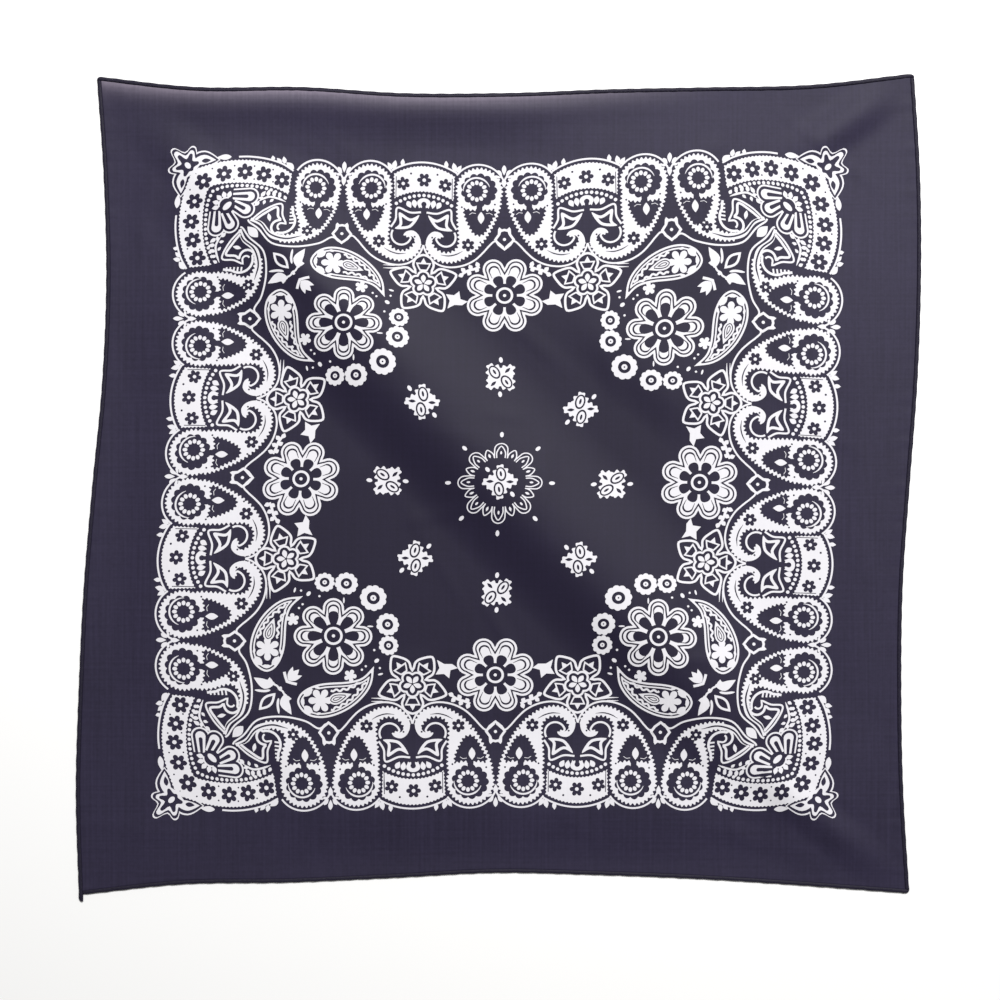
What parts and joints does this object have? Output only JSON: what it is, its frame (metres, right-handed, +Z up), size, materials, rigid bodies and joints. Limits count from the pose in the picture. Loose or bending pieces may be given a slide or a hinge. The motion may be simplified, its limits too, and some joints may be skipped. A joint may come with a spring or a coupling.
{
  "type": "bandana",
  "caption": "Square cotton bandana with rolled hems, laid out face up with its corners drawn outwards, so its edges bow in and soft ridges run between the corners.",
  "frame": {"origin": "middle of the laid-out cloth's box, on the surface that it lies on", "axes": "+Z up from the surface, out of the printed face; +X towards the east edge; +Y towards the north edge, the top of the design"},
  "size_m": [0.5618, 0.5502, 0.0116],
  "materials": {
    "cotton": "plain-woven cotton, dark navy, matt with a faint sheen on its ridges",
    "hem": "the same cotton rolled double, a shade darker, with fine navy stitches",
    "print": "white discharge print on the cotton's face, matt, with the weave showing through"
  },
  "bodies": {
    "root": {"panel": "cotton", "hem_north": "hem", "hem_south": "hem", "hem_west": "hem", "hem_east": "hem"}
  },
  "joints": []
}
